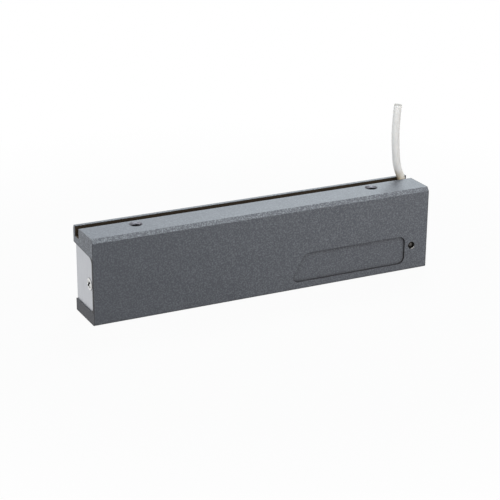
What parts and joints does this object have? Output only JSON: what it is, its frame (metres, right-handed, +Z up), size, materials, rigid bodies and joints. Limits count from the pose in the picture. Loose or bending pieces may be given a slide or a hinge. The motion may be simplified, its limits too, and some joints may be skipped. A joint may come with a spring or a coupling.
{
  "type": "electromagnetic door lock",
  "caption": "Slim surface-mounted electromagnetic door lock: a potted magnet in a grey aluminium channel with inset end plates, a cable groove, an indicator and a supply cable.",
  "frame": {"origin": "on the surface that the sill stands on, below the middle of the housing", "axes": "+X along the length towards the cable end, -Y out of the front face, +Y out of the pole face, +Z up"},
  "size_m": [0.17, 0.0228, 0.0769],
  "materials": {
    "powder_coat": "fine textured grey powder coat",
    "satin_aluminium": "satin",
    "bright_steel": "bright zinc plated",
    "core_steel": "ground",
    "bobbin_plastic": "moulded",
    "copper": "enamelled copper",
    "potting_resin": "cast resin",
    "board": "solder mask",
    "lamp_lens": "smoked lens",
    "resistor_body": "lacquered",
    "diode_body": "moulded",
    "varistor_body": "dipped",
    "red_insulation": "extruded",
    "black_insulation": "extruded",
    "cable_sheath": "extruded"
  },
  "bodies": {
    "root": {"housing": "powder_coat", "end_plate_left": "satin_aluminium", "end_plate_right": "satin_aluminium", "end_screw_left": "bright_steel", "end_screw_right": "bright_steel", "core": "core_steel", "bobbin": "bobbin_plastic", "winding": "copper", "potting": "potting_resin", "circuit_board": "board", "indicator_led": "lamp_lens", "resistor": "resistor_body", "diode": "diode_body", "varistor": "varistor_body", "coil_lead_start": "copper", "coil_lead_finish": "copper", "supply_wire_positive": "red_insulation", "supply_wire_negative": "black_insulation", "cable_tail": "cable_sheath", "cable": "cable_sheath"}
  },
  "joints": []
}
